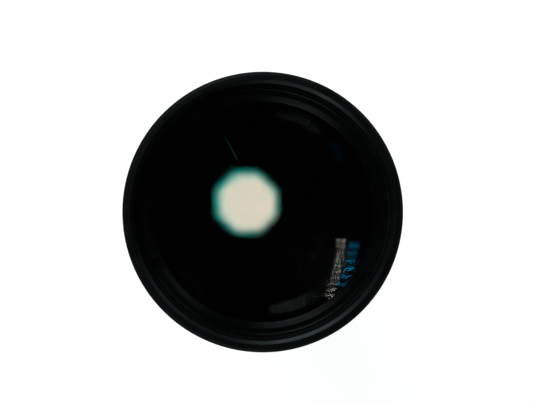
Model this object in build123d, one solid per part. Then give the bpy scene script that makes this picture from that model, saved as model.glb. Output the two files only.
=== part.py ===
from build123d import *
import os
from math import asin, cos, degrees, radians, sin, sqrt

# Object-side telecentric lens, millimetres. The optical axis is Z and the large front glass looks up.
# The origin is the centre of the camera flange's seat face. The lens stands on its thread's end.

# Clearances
screw_gap = 0.05        # radial, between parts that screw or push together
glass_gap = 0.1         # radial, round each lens in its bore
seat_gap = 0.03         # between a ring's conical land and the glass it holds
cement_gap = 0.02       # cement layer of the front doublet
running_gap = 0.05      # radial, of the turning rings
axial_play = 0.1        # end play of the turning rings
pin_gap = 0.03          # radial, of blade pins in their plate
cam_gap = 0.05          # radial, of blade pins in the cam slots
end_gap = 0.2           # between a spigot's end and the shoulder behind it
overshoot = 1.0         # how far a cutting tool runs past the surface

# Camera end
thread_r = 12.7
thread_length = 4.0
thread_chamfer = 0.5
flange_height = 5.0
camera_spigot_r = 14.0
camera_spigot_height = 4.5
shim_thickness = 0.3
camera_bore_margin = 1.4

# Rear barrel
rear_wall = 3.0
flange_step = 1.5
clamp_length = 12.7
collar_lip = 1.5
collar_height = 8.0
edge_chamfer = 0.4

# Rear lens cell
cell_shoulder = 1.5
cell_flange_height = 1.0
cell_length = 12.5
cell_lip = 1.5
rear_glass_r = 9.0
rear_glass_seat = 0.8
rear_crown_curve = 40.0
rear_crown_thickness = 4.0
rear_air_gap = 0.42
rear_flint_curve = 40.0
rear_flint_thickness = 2.0
rear_ring_height = 1.6

# Iris
blade_count = 8
blade_pivot_r = 12.8
blade_pivot_margin = 1.2
blade_inner_r = 6.2
blade_thickness = 0.15
blade_gap = 0.1
blade_heel = 6.0
blade_reach = 95.0
blade_pin_r = 0.5
blade_boss_r = 1.0
blade_neck = 2.2
drive_pin_lag = 14.0
plate_thickness = 1.2
plate_cover = 0.1
plate_gap = 0.15
cam_thickness = 2.6
cam_setback = 0.2
rest_opening_r = 0.9
smallest_opening_r = 0.5
ring_travel = 38.0
iris_ring_height = 1.5
iris_ring_width = 3.5

# Iris housing
iris_margin = 3.7
housing_wall = 2.5
spigot_wall = 1.5
rear_spigot_height = 7.0
front_spigot_height = 6.0
iris_seat_height = 3.0

# Aperture ring
ring_height = 11.0
ring_wall = 3.0
flute_count = 40
flute_r = 0.7
flute_depth = 0.45
flute_margin = 1.8
drive_screw_r = 0.8
drive_screw_reach = 1.4
drive_screw_azimuth = 200.0
lock_screw_azimuth = 300.0
washer_thickness = 0.3
washer_width = 1.2

# Taper housing
taper_land = 4.0
taper_length = 32.5
front_land = 4.0
taper_spigot_step = 3.0
taper_spigot_height = 5.0
taper_wall = 3.5
taper_bore_step = 1.0
baffle_thickness = 1.2
baffle_margin = 1.5
rear_baffle_rise = 12.5
front_baffle_rise = 25.5

# Front barrel
barrel_r = 30.0
barrel_wall = 2.5
barrel_chamfer = 0.65
mouth_bevel = 0.78
mouth_depth = 4.0
ring_thread_step = 0.5
ring_thread_runout = 1.0
glass_seat_rise = 2.6
glass_seat_width = 1.9

# Front glass
glass_wall = 1.5
crown_front_curve = 150.0
crown_rear_curve = 90.0
crown_edge = 3.03
flint_rear_curve = 300.0
flint_thickness = 3.5
field_curve = 58.6
field_edge = 3.36
field_air_gap = 0.31
spacer_width = 1.3

# Front retaining ring
ring_face_width = 0.5
ring_edge = 0.35
ring_step_depth = 0.8
ring_step_width = 1.4
ring_land_height = 1.35
ring_glass_cover = 1.65
notch_width = 2.4
notch_depth = 1.0
notch_azimuth = 206.6

# Grub screws
grub_r = 1.2
grub_count = 3
grub_socket_r = 0.7
grub_socket_depth = 1.2
grub_recess = 0.3


def sag(curve, r):
    """How far a spherical surface falls back at radius r."""
    return curve - sqrt(curve ** 2 - r ** 2)


# Radii that follow from the walls and steps
rear_barrel_r = camera_spigot_r + rear_wall
flange_r = rear_barrel_r - flange_step
cell_r = camera_spigot_r - cell_shoulder - screw_gap
camera_bore_r = rear_glass_r + camera_bore_margin
rear_clear_r = rear_glass_r - rear_glass_seat
blade_outer_r = blade_pivot_r - blade_pivot_margin
plate_bore_r = blade_inner_r - plate_cover
cam_bore_r = blade_inner_r + cam_setback
housing_bore_r = blade_pivot_r + iris_margin
housing_r = housing_bore_r + housing_wall
housing_spigot_r = housing_bore_r + spigot_wall
iris_ring_bore_r = housing_bore_r - iris_ring_width
collar_r = housing_r + collar_lip
ring_r = housing_r + ring_wall
mouth_r = barrel_r - barrel_wall
ring_thread_r = mouth_r - ring_thread_step
front_glass_r = ring_thread_r - glass_wall
glass_seat_r = front_glass_r - glass_seat_width
taper_spigot_r = barrel_r - taper_spigot_step
front_step_r = taper_spigot_r - taper_wall
taper_rear_bore_r = housing_bore_r - taper_bore_step
rear_step_r = (front_step_r + taper_rear_bore_r) / 2
ring_face_inner_r = ring_thread_r - ring_face_width
ring_step_inner_r = ring_face_inner_r - ring_step_width
ring_glass_edge_r = front_glass_r - ring_glass_cover

# Heights that follow from the lengths, from the camera to the front barrel
barrel_start = flange_height + shim_thickness
clamp_end = barrel_start + clamp_length
housing_start = clamp_end + collar_height
ring_start = housing_start + axial_play
ring_end = ring_start + ring_height
washer_start = ring_end + axial_play
taper_start = washer_start + washer_thickness
cone_start = taper_start + taper_land
cone_end = cone_start + taper_length
front_barrel_start = cone_end + front_land
cell_start = flange_height + camera_spigot_height
cell_end = cell_start + cell_length
iris_seat = housing_start + iris_seat_height
blades_start = iris_seat + plate_thickness + plate_gap
blade_pitch = blade_thickness + blade_gap
blades_end = blades_start + blade_count * blade_pitch - blade_gap
cam_start = blades_end + plate_gap
cam_end = cam_start + cam_thickness
cam_middle = (cam_start + cam_end) / 2
rear_baffle_seat = taper_start + rear_baffle_rise
front_baffle_seat = taper_start + front_baffle_rise
taper_end = front_barrel_start + taper_spigot_height

# Front glass from its seat up to the rim
glass_seat = taper_end + end_gap + glass_seat_rise
crown_thickness = crown_edge + sag(crown_front_curve, front_glass_r) + sag(crown_rear_curve, front_glass_r)
field_thickness = field_edge + sag(field_curve, front_glass_r)
field_front = glass_seat + field_thickness
flint_back = field_front + field_air_gap
flint_front = flint_back + flint_thickness
crown_back = flint_front + cement_gap
crown_front = crown_back + crown_thickness
glass_edge = crown_front - sag(crown_front_curve, ring_glass_edge_r) + seat_gap
step_face = glass_edge + ring_land_height
ring_face = step_face + ring_step_depth
rim = ring_face + mouth_depth
ring_foot = crown_front - sag(crown_front_curve, front_glass_r) - seat_gap

# Rear glass, from the lip of its cell back towards the camera
rear_seat = cell_end - cell_lip
rear_crown_front = rear_seat + sag(rear_crown_curve, rear_clear_r) - seat_gap
rear_crown_back = rear_crown_front - rear_crown_thickness
rear_flint_front = rear_crown_back - rear_air_gap
rear_flint_back = rear_flint_front - rear_flint_thickness
rear_flint_edge = rear_flint_back - sag(rear_flint_curve, rear_glass_r)


def blade_turn(opening):
    """Degrees that a blade has turned from fully open when the opening has this radius."""
    return degrees(2 * asin((blade_inner_r - opening) / (2 * blade_pivot_r)))


rest_turn = blade_turn(rest_opening_r)
full_turn = blade_turn(smallest_opening_r)
blade_ratio = full_turn / ring_travel
opening_travel = rest_turn / blade_ratio
closing_travel = ring_travel - opening_travel


def turned(*outline):
    """A solid turned round Z from (radius, height) points."""
    path = Polyline(*[(r, 0, z) for r, z in outline], close=True)
    return revolve(make_face(path), Axis.Z)


def radial_rod(r, inner, outer, height, azimuth):
    """A cylinder that points outwards from the axis."""
    rod = Pos(inner, 0, height) * Rot(0, 90, 0) * Cylinder(r, outer - inner, align=BASE)
    return Rot(0, 0, azimuth) * rod


def face_arc(curve, rise, start, end):
    """A lens face from one (radius, height) point to another, or a line where curve is 0."""
    if curve == 0:
        return Line((start[0], 0, start[1]), (end[0], 0, end[1]))
    half = max(start[0], end[0]) / 2
    vertex = start[1] if start[0] == 0 else end[1]
    middle = (half, 0, vertex - rise * sag(curve, half))
    return ThreePointArc((start[0], 0, start[1]), middle, (end[0], 0, end[1]))


def lens(r, front, thickness, front_curve, rear_curve, front_rise=1, rear_rise=-1):
    """A lens whose front vertex is at height front. A rise of 1 falls away downwards, -1 upwards."""
    rear = front - thickness
    front_edge = front - (front_rise * sag(front_curve, r) if front_curve else 0)
    rear_edge = rear - (rear_rise * sag(rear_curve, r) if rear_curve else 0)
    outline = [
        face_arc(front_curve, front_rise, (0, front), (r, front_edge)),
        Line((r, 0, front_edge), (r, 0, rear_edge)),
        face_arc(rear_curve, rear_rise, (r, rear_edge), (0, rear)),
        Line((0, 0, rear), (0, 0, front)),
    ]
    return revolve(make_face(outline), Axis.Z)


BASE = (Align.CENTER, Align.CENTER, Align.MIN)


def grub_angles(offset=0.0):
    return [offset + 360 / grub_count * i for i in range(grub_count)]


def grub(seat_r, surface_r, height, azimuth):
    """A socket set screw that presses on seat_r and ends just under surface_r."""
    outer = surface_r - grub_recess
    body = radial_rod(grub_r, seat_r + seat_gap, outer, height, azimuth)
    socket = Pos(outer, 0, height) * Rot(0, -90, 0) * extrude(
        RegularPolygon(grub_socket_r, 6, major_radius=False), grub_socket_depth
    )
    return body - Rot(0, 0, azimuth) * socket


def grub_hole(inner, outer, height, azimuth):
    return radial_rod(grub_r + screw_gap, inner, outer, height, azimuth)


# Heights and turns of the four rows of grub screws
camera_grubs = (camera_spigot_r, rear_barrel_r, barrel_start + camera_spigot_height / 2, 30.0)
housing_grubs = (housing_spigot_r, collar_r, clamp_end + collar_height / 2, 90.0)
taper_grubs = (housing_spigot_r, collar_r, taper_start + taper_land / 2, 90.0)
barrel_grubs = (taper_spigot_r, barrel_r, front_barrel_start + taper_spigot_height / 2, 30.0)


def grub_row(row):
    seat_r, surface_r, height, offset = row
    return Compound(children=[grub(seat_r, surface_r, height, a) for a in grub_angles(offset)])


def drilled(body, row):
    """The body with the holes of one row of grub screws."""
    seat_r, surface_r, height, offset = row
    for angle in grub_angles(offset):
        body -= grub_hole(seat_r - screw_gap, surface_r + overshoot, height, angle)
    return body


def c_mount_ring():
    """Camera thread, flange and spigot, turned in one piece."""
    top = flange_height + camera_spigot_height
    return turned(
        (camera_bore_r, -thread_length),
        (thread_r - thread_chamfer, -thread_length),
        (thread_r, -thread_length + thread_chamfer),
        (thread_r, 0),
        (flange_r, 0),
        (flange_r, flange_height),
        (camera_spigot_r, flange_height),
        (camera_spigot_r, top),
        (camera_bore_r, top),
    )


def flange_shim():
    """Thin ring that sets the flange distance."""
    inner = camera_spigot_r + screw_gap
    return turned(
        (inner, flange_height),
        (flange_r, flange_height),
        (flange_r, barrel_start),
        (inner, barrel_start),
    )


def rear_barrel():
    """Clamp tube with a collar that backs the aperture ring."""
    camera_bore = camera_spigot_r + screw_gap
    cell_bore = cell_r + screw_gap
    housing_bore = housing_spigot_r + screw_gap
    cell_shoulder = cell_start + cell_flange_height
    housing_shoulder = housing_start - rear_spigot_height - end_gap
    body = turned(
        (camera_bore, barrel_start),
        (rear_barrel_r - edge_chamfer, barrel_start),
        (rear_barrel_r, barrel_start + edge_chamfer),
        (rear_barrel_r, clamp_end),
        (collar_r - edge_chamfer, clamp_end),
        (collar_r, clamp_end + edge_chamfer),
        (collar_r, housing_start - edge_chamfer),
        (collar_r - edge_chamfer, housing_start),
        (housing_bore, housing_start),
        (housing_bore, housing_shoulder),
        (cell_bore, housing_shoulder),
        (cell_bore, cell_shoulder),
        (camera_bore, cell_shoulder),
    )
    return drilled(drilled(body, camera_grubs), housing_grubs)


def rear_lens_cell():
    """Tube that holds the rear pair of lenses, clamped by its flange."""
    bore = rear_glass_r + glass_gap
    return turned(
        (bore, cell_start),
        (camera_spigot_r, cell_start),
        (camera_spigot_r, cell_start + cell_flange_height),
        (cell_r, cell_start + cell_flange_height),
        (cell_r, cell_end),
        (rear_clear_r, cell_end),
        (rear_clear_r, rear_seat),
        (bore, rear_seat),
    )


def rear_crown_lens():
    return lens(
        rear_glass_r, rear_crown_front, rear_crown_thickness, rear_crown_curve, rear_crown_curve
    )


def rear_spacer():
    """Ring between the rear lenses, with a conical land for the convex face."""
    outer = rear_glass_r
    land_inner = rear_crown_back + sag(rear_crown_curve, rear_clear_r) - seat_gap
    land_outer = rear_crown_back + sag(rear_crown_curve, outer) - seat_gap
    return turned(
        (rear_clear_r, rear_flint_front),
        (outer, rear_flint_front),
        (outer, land_outer),
        (rear_clear_r, land_inner),
    )


def rear_flint_lens():
    """Plano-concave lens, flat towards the front."""
    return lens(rear_glass_r, rear_flint_front, rear_flint_thickness, 0, rear_flint_curve, rear_rise=1)


def rear_retaining_ring():
    outer = rear_glass_r + glass_gap - screw_gap
    top = rear_flint_edge
    return turned(
        (rear_clear_r, top - rear_ring_height),
        (outer, top - rear_ring_height),
        (outer, top),
        (rear_clear_r, top),
    )


def iris_housing():
    """Tube that carries the iris inside and the aperture ring outside."""
    rear_bore = cell_r + screw_gap
    rear_end = housing_start - rear_spigot_height
    front_end = taper_start + front_spigot_height
    body = turned(
        (rear_bore, rear_end),
        (housing_spigot_r, rear_end),
        (housing_spigot_r, housing_start),
        (housing_r, housing_start),
        (housing_r, taper_start),
        (housing_spigot_r, taper_start),
        (housing_spigot_r, front_end),
        (housing_bore_r, front_end),
        (housing_bore_r, iris_seat),
        (rear_bore, iris_seat),
    )
    return body - drive_slot()


def drive_slot():
    """Round-ended slot in the tube wall for the ring's drive screw, as long as its travel."""
    half = drive_screw_r + axial_play
    height = cam_middle
    inner = housing_bore_r - overshoot
    outer = housing_r + overshoot
    section = Polyline(
        (inner, 0, height - half), (outer, 0, height - half),
        (outer, 0, height + half), (inner, 0, height + half), close=True,
    )
    first = drive_screw_azimuth - opening_travel - degrees(axial_play / housing_bore_r)
    last = drive_screw_azimuth + closing_travel + degrees(axial_play / housing_bore_r)
    wedge = Rot(0, 0, first) * revolve(make_face(section), Axis.Z, revolution_arc=last - first)
    ends = [radial_rod(half, inner, outer, height, a) for a in (first, last)]
    return wedge + ends[0] + ends[1]


def pivot_angle(index):
    """Azimuth of a blade's pivot, set so that the opening at rest has level and upright sides."""
    return 360 / blade_count * index - rest_turn / 2


def iris_base_plate():
    """Plate with the blade pivots' holes."""
    body = turned(
        (plate_bore_r, iris_seat),
        (housing_bore_r - screw_gap, iris_seat),
        (housing_bore_r - screw_gap, iris_seat + plate_thickness),
        (plate_bore_r, iris_seat + plate_thickness),
    )
    hole = Pos(blade_pivot_r, 0, iris_seat) * Cylinder(
        blade_pin_r + pin_gap, plate_thickness, align=BASE
    )
    for index in range(blade_count):
        body -= Rot(0, 0, pivot_angle(index)) * hole
    return body


def blade_plan():
    """Outline of a fully open blade whose pivot lies on the X axis."""
    middle_r = (blade_inner_r + blade_outer_r) / 2
    tip_r = (blade_outer_r - blade_inner_r) / 2
    far = 3 * blade_outer_r
    span = [-blade_heel, blade_reach / 2, blade_reach]
    wedge = Polyline(
        (0, 0), *[(far * cos(radians(a)), far * sin(radians(a))) for a in span], close=True
    )
    band = (Circle(blade_outer_r) - Circle(blade_inner_r)) & make_face(wedge)
    tip = Rot(0, 0, blade_reach) * Pos(middle_r, 0) * Circle(tip_r)
    neck = Pos((middle_r + blade_pivot_r) / 2, 0) * Rectangle(blade_pivot_r - middle_r, blade_neck)
    boss = Pos(blade_pivot_r, 0) * Circle(blade_neck / 2)
    arm_length = 2 * blade_pivot_r * sin(radians(drive_pin_lag) / 2)
    arm = Pos(blade_pivot_r, 0) * Rot(0, 0, -90 - drive_pin_lag / 2) * SlotCenterPoint(
        (arm_length / 2, 0), (arm_length, 0), 2 * blade_boss_r
    )
    return band + tip + neck + boss + arm


def iris_blade(index):
    """A blade on its own level, with a pivot pin downwards and a drive pin upwards."""
    level = blades_start + index * blade_pitch
    plate = Pos(0, 0, level) * extrude(blade_plan(), blade_thickness)
    foot = iris_seat + pin_gap
    head = cam_end - pin_gap
    pivot = Pos(blade_pivot_r, 0, foot) * Cylinder(blade_pin_r, level - foot, align=BASE)
    top = level + blade_thickness
    drive = Pos(blade_pivot_r, 0, top) * Cylinder(blade_pin_r, head - top, align=BASE)
    blade = plate + pivot + Rot(0, 0, -drive_pin_lag) * drive
    closed = Pos(blade_pivot_r, 0) * Rot(0, 0, rest_turn) * Pos(-blade_pivot_r, 0) * blade
    return Rot(0, 0, pivot_angle(index)) * closed


def cam_point(turn):
    """Where a drive pin lies on the cam ring, from the pivot's azimuth, when its blade has turned."""
    start = radians(-drive_pin_lag)
    dx = blade_pivot_r * (cos(start) - 1)
    dy = blade_pivot_r * sin(start)
    a = radians(turn)
    x = blade_pivot_r + dx * cos(a) - dy * sin(a)
    y = dx * sin(a) + dy * cos(a)
    b = radians((rest_turn - turn) / blade_ratio)
    return (x * cos(b) - y * sin(b), x * sin(b) + y * cos(b))


def iris_cam_ring():
    """Ring whose curved slots swing the blades, with a radial hole for the drive screw."""
    outer = housing_bore_r - 3 * running_gap
    body = turned((cam_bore_r, cam_start), (outer, cam_start), (outer, cam_end), (cam_bore_r, cam_end))
    path = ThreePointArc(cam_point(0), cam_point(full_turn / 2), cam_point(full_turn))
    groove = SlotArc(path, 2 * (blade_pin_r + cam_gap))
    cutter = Pos(0, 0, cam_start) * extrude(groove, cam_thickness)
    for index in range(blade_count):
        body -= Rot(0, 0, pivot_angle(index)) * cutter
    inner = housing_bore_r - drive_screw_reach - screw_gap
    hole_r = drive_screw_r + screw_gap
    return body - radial_rod(hole_r, inner, outer + overshoot, cam_middle, drive_screw_azimuth)


def iris_retaining_ring():
    """Threaded ring that keeps the cam ring down."""
    bottom = cam_end + axial_play
    outer = housing_bore_r - screw_gap
    return turned(
        (iris_ring_bore_r, bottom),
        (outer, bottom),
        (outer, bottom + iris_ring_height),
        (iris_ring_bore_r, bottom + iris_ring_height),
    )


def aperture_ring():
    """Fluted grip ring that turns on the iris housing."""
    inner = housing_r + running_gap
    body = turned(
        (inner, ring_start),
        (ring_r - edge_chamfer, ring_start),
        (ring_r, ring_start + edge_chamfer),
        (ring_r, ring_end - edge_chamfer),
        (ring_r - edge_chamfer, ring_end),
        (inner, ring_end),
    )
    flute_length = ring_height - 2 * flute_margin
    flute = Pos(ring_r + flute_r - flute_depth, 0, ring_start + flute_margin) * Cylinder(
        flute_r, flute_length, align=BASE
    )
    for i in range(flute_count):
        body -= Rot(0, 0, (i + 0.5) * 360 / flute_count) * flute
    inside = inner - overshoot
    outside = ring_r + overshoot
    body -= radial_rod(drive_screw_r + screw_gap, inside, outside, cam_middle, drive_screw_azimuth)
    return body - grub_hole(inside, outside, cam_middle, lock_screw_azimuth)


def aperture_drive_screw():
    """Headless screw that joins the aperture ring to the cam ring through the slot."""
    inner = housing_bore_r - drive_screw_reach
    outer = ring_r - flute_depth - grub_recess
    return radial_rod(drive_screw_r, inner, outer, cam_middle, drive_screw_azimuth)


def aperture_lock_screw():
    return grub(housing_r + running_gap, ring_r - flute_depth, cam_middle, lock_screw_azimuth)


def friction_washer():
    """Thin washer between the aperture ring and the taper housing."""
    inner = housing_r + screw_gap
    return turned(
        (inner, washer_start),
        (inner + washer_width, washer_start),
        (inner + washer_width, taper_start),
        (inner, taper_start),
    )


def taper_housing():
    """Conical housing between the iris and the front barrel."""
    spigot_bore = housing_spigot_r + screw_gap
    spigot_end = taper_start + front_spigot_height + end_gap
    body = turned(
        (spigot_bore, taper_start),
        (collar_r - edge_chamfer, taper_start),
        (collar_r, taper_start + edge_chamfer),
        (collar_r, cone_start),
        (barrel_r, cone_end),
        (barrel_r, front_barrel_start - edge_chamfer),
        (barrel_r - edge_chamfer, front_barrel_start),
        (taper_spigot_r, front_barrel_start),
        (taper_spigot_r, taper_end),
        (front_step_r, taper_end),
        (front_step_r, front_baffle_seat),
        (rear_step_r, front_baffle_seat),
        (rear_step_r, rear_baffle_seat),
        (taper_rear_bore_r, rear_baffle_seat),
        (taper_rear_bore_r, spigot_end),
        (spigot_bore, spigot_end),
    )
    return drilled(body, taper_grubs)


def baffle(bore_r, seat):
    """Light baffle with a sharp inner edge, just clear of the cone of light."""
    r = bore_r - screw_gap
    reach = (seat - blades_end) / (glass_seat - blades_end)
    opening = glass_seat_r * reach + baffle_margin
    return turned(
        (opening, seat),
        (r, seat),
        (r, seat + baffle_thickness),
        (opening + baffle_thickness, seat + baffle_thickness),
    )


def front_barrel():
    """Large barrel with the lens seat and the threaded mouth."""
    spigot_bore = taper_spigot_r + screw_gap
    spigot_end = taper_end + end_gap
    glass_bore = front_glass_r + glass_gap
    thread_end = ring_foot - ring_thread_runout
    body = turned(
        (spigot_bore, front_barrel_start),
        (barrel_r - edge_chamfer, front_barrel_start),
        (barrel_r, front_barrel_start + edge_chamfer),
        (barrel_r, rim - barrel_chamfer),
        (barrel_r - barrel_chamfer, rim),
        (mouth_r + mouth_bevel, rim),
        (mouth_r, rim - mouth_bevel),
        (mouth_r, ring_face),
        (ring_thread_r, ring_face),
        (ring_thread_r, thread_end),
        (glass_bore, thread_end),
        (glass_bore, glass_seat),
        (glass_seat_r, glass_seat),
        (glass_seat_r, spigot_end),
        (spigot_bore, spigot_end),
    )
    return drilled(body, barrel_grubs)


def front_crown_lens():
    return lens(front_glass_r, crown_front, crown_thickness, crown_front_curve, crown_rear_curve)


def front_flint_lens():
    """Meniscus cemented behind the crown."""
    return lens(
        front_glass_r, flint_front, flint_thickness, crown_rear_curve, flint_rear_curve, front_rise=-1
    )


def second_front_lens():
    """Plano-convex lens that rests on the barrel's seat."""
    return lens(front_glass_r, field_front, field_thickness, field_curve, 0)


def front_spacer():
    """Ring between the doublet and the second lens, with a conical land for each."""
    inner = front_glass_r - spacer_width
    return turned(
        (inner, field_front - sag(field_curve, inner) + seat_gap),
        (front_glass_r, field_front - sag(field_curve, front_glass_r) + seat_gap),
        (front_glass_r, flint_back + sag(flint_rear_curve, front_glass_r) - seat_gap),
        (inner, flint_back + sag(flint_rear_curve, inner) - seat_gap),
    )


def front_retaining_ring():
    """Stepped ring that holds the front glass, with two spanner notches."""
    outer = ring_thread_r - screw_gap
    clear = front_glass_r + glass_gap
    body = turned(
        (outer, ring_face),
        (outer, ring_foot),
        (clear, ring_foot),
        (clear, ring_foot + 2 * seat_gap),
        (ring_glass_edge_r, glass_edge),
        (ring_step_inner_r, step_face),
        (ring_face_inner_r - ring_edge, step_face),
        (ring_face_inner_r - ring_edge, ring_face - ring_edge),
        (ring_face_inner_r, ring_face),
    )
    cut_length = ring_face_inner_r - ring_glass_edge_r
    cut = Pos(ring_glass_edge_r - screw_gap, 0, step_face - notch_depth) * Box(
        cut_length, notch_width, mouth_depth, align=(Align.MIN, Align.CENTER, Align.MIN)
    )
    for turn in (0, 180):
        body -= Rot(0, 0, notch_azimuth + turn) * cut
    return body


pieces = {
    "c_mount_ring": c_mount_ring(),
    "flange_shim": flange_shim(),
    "c_mount_grub_screws": grub_row(camera_grubs),
    "rear_barrel": rear_barrel(),
    "rear_lens_cell": rear_lens_cell(),
    "rear_crown_lens": rear_crown_lens(),
    "rear_spacer": rear_spacer(),
    "rear_flint_lens": rear_flint_lens(),
    "rear_retaining_ring": rear_retaining_ring(),
    "iris_housing": iris_housing(),
    "housing_grub_screws": grub_row(housing_grubs),
    "iris_base_plate": iris_base_plate(),
    "iris_cam_ring": iris_cam_ring(),
    "iris_retaining_ring": iris_retaining_ring(),
    "aperture_ring": aperture_ring(),
    "aperture_drive_screw": aperture_drive_screw(),
    "aperture_lock_screw": aperture_lock_screw(),
    "friction_washer": friction_washer(),
    "taper_housing": taper_housing(),
    "taper_grub_screws": grub_row(taper_grubs),
    "rear_baffle": baffle(rear_step_r, rear_baffle_seat),
    "front_baffle": baffle(front_step_r, front_baffle_seat),
    "front_barrel": front_barrel(),
    "barrel_grub_screws": grub_row(barrel_grubs),
    "front_retaining_ring": front_retaining_ring(),
    "front_crown_lens": front_crown_lens(),
    "front_flint_lens": front_flint_lens(),
    "front_spacer": front_spacer(),
    "second_front_lens": second_front_lens(),
}
for number in range(blade_count):
    pieces[f"iris_blade_{number + 1}"] = iris_blade(number)

os.makedirs("parts", exist_ok=True)
for name, shape in pieces.items():
    export_step(shape, f"parts/{name}.step")
print("ring travel from rest", -opening_travel, closing_travel, "blade ratio", blade_ratio)
print("blade travel from rest", -rest_turn, full_turn - rest_turn)
print("rim height", rim, "ring screw height", (cam_start + cam_end) / 2)
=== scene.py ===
from math import asin, cos, pi, radians, sin, sqrt

import bmesh
import bpy
import numpy as np
from mathutils import Matrix, Vector


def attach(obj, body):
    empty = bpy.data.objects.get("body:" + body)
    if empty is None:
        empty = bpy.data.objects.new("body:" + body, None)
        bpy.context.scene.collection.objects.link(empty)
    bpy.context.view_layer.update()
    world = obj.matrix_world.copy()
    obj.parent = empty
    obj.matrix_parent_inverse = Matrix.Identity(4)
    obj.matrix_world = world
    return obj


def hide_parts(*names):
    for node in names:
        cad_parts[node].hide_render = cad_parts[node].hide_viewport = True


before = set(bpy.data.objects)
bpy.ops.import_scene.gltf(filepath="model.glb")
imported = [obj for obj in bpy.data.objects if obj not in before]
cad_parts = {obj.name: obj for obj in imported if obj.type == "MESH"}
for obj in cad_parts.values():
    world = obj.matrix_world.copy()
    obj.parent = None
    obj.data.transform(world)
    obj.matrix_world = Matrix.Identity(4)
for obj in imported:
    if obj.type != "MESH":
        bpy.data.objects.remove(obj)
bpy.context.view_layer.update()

# Camera ring: thread, flange and spigot, turned in one piece from aluminium and
# anodised satin black. Its spigot goes up into the rear barrel. Sizes are in mm.
MM = 0.001
SHARP_EDGE = radians(38)


def eased(outline, ease, fade):
    """Rows of (radius, height, edge) for an outline whose corners are rounded. Edge is 1 on a corner."""
    rows = []
    for i, corner in enumerate(outline):
        here = Vector(corner)
        sides = [Vector(outline[i - 1]) - here, Vector(outline[(i + 1) % len(outline)]) - here]
        near = [here + s.normalized() * min(ease, s.length * 0.3) for s in sides]
        far = [here + s.normalized() * min(ease + fade, s.length * 0.45) for s in sides]
        rows.append((*far[0], 0))
        for t in (0, 0.25, 0.5, 0.75, 1):
            point = near[0] * (1 - t) ** 2 + here * 2 * t * (1 - t) + near[1] * t ** 2
            rows.append((*point, 1))
        rows.append((*far[1], 0))
    return rows


def spun(name, rows, segments=240):
    """A closed mesh turned round the axis from rows of (radius, height, edge)."""
    area = sum(a[0] * b[1] - b[0] * a[1] for a, b in zip(rows, rows[1:] + rows[:1]))
    r, z, edge = np.array(rows if area > 0 else rows[::-1]).T
    turn = np.arange(segments) * 2 * pi / segments
    place = np.stack([np.outer(np.cos(turn), r), np.outer(np.sin(turn), r), np.tile(z, (segments, 1))], -1)
    j, i = np.meshgrid(np.arange(segments), np.arange(len(r)), indexing="ij")
    following, beside = (i + 1) % len(r), (j + 1) % segments
    row, next_row = j * len(r), beside * len(r)
    faces = np.stack([row + i, next_row + i, next_row + following, row + following], -1)
    mesh = bpy.data.meshes.new(name)
    mesh.from_pydata((place.reshape(-1, 3) * MM).tolist(), [], faces.reshape(-1, 4).tolist())
    worn = mesh.attributes.new("edge", "FLOAT", "POINT")
    worn.data.foreach_set("value", np.tile(edge, segments).astype(np.float32))
    mesh.shade_smooth()
    return mesh


def turned(name, outline, ease=0.08, fade=0.25, segments=240):
    """A turned mesh with eased corners, from (radius, height) points."""
    return spun(name, eased(outline, ease, fade), segments)


def add(tree, kind, *ordered, props=None, **named):
    """A node whose properties and sockets are set, or linked where the value is another node's output."""
    node = tree.nodes.new(kind)
    for key, value in (props or {}).items():
        setattr(node, key, value)
    shown = [s for s in node.inputs if s.enabled]
    by_name = {s.name.replace(" ", "_"): s for s in reversed(shown)}
    for socket, value in [*zip(shown, ordered), *((by_name[k], v) for k, v in named.items())]:
        for one in value if isinstance(value, list) else [value]:
            if isinstance(one, bpy.types.Node):
                one = next(s for s in one.outputs if s.enabled)
            if isinstance(one, bpy.types.NodeSocket):
                tree.links.new(one, socket)
            else:
                socket.default_value = one
    return node


def maths(tree, operation, *values):
    """One step of arithmetic."""
    return add(tree, "ShaderNodeMath", *values, props={"operation": operation})


SOCKETS = {
    "geometry": "NodeSocketGeometry", "whole": "NodeSocketInt", "size": "NodeSocketFloat",
    "colour": "NodeSocketColor", "vector": "NodeSocketVector", "material": "NodeSocketMaterial",
}


def new_tree(name, kind, inputs, outputs):
    """A node group with named sockets, and its input node."""
    tree = bpy.data.node_groups.new(name, kind)
    for way, sockets in (("INPUT", inputs), ("OUTPUT", outputs)):
        for label, socket in sockets.items():
            tree.interface.new_socket(label, in_out=way, socket_type=SOCKETS[socket])
    return tree, tree.nodes.new("NodeGroupInput").outputs


def shape_tree(name, *sizes, whole=()):
    """A node group that a mesh goes through, with these sizes and whole numbers as sockets."""
    inputs = {"Geometry": "geometry", **dict.fromkeys(whole, "whole"), **dict.fromkeys(sizes, "size")}
    return new_tree(name, "GeometryNodeTree", {**inputs, "Material": "material"}, {"Geometry": "geometry"})


def finish_shape(tree, shape, sizes):
    """Sharp edges, realised copies and the material, at the end of a shape tree."""
    angle = tree.nodes.new("GeometryNodeInputMeshEdgeAngle")
    sharp = maths(tree, "GREATER_THAN", angle, SHARP_EDGE)
    real = add(tree, "GeometryNodeRealizeInstances", shape)
    smooth = add(tree, "GeometryNodeSetShadeSmooth", real, Shade_Smooth=True)
    edged = add(tree, "GeometryNodeSetShadeSmooth", smooth, props={"domain": "EDGE"},
                Selection=sharp, Shade_Smooth=False)
    coated = add(tree, "GeometryNodeSetMaterial", edged, Material=sizes["Material"])
    add(tree, "NodeGroupOutput", coated)


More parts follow.
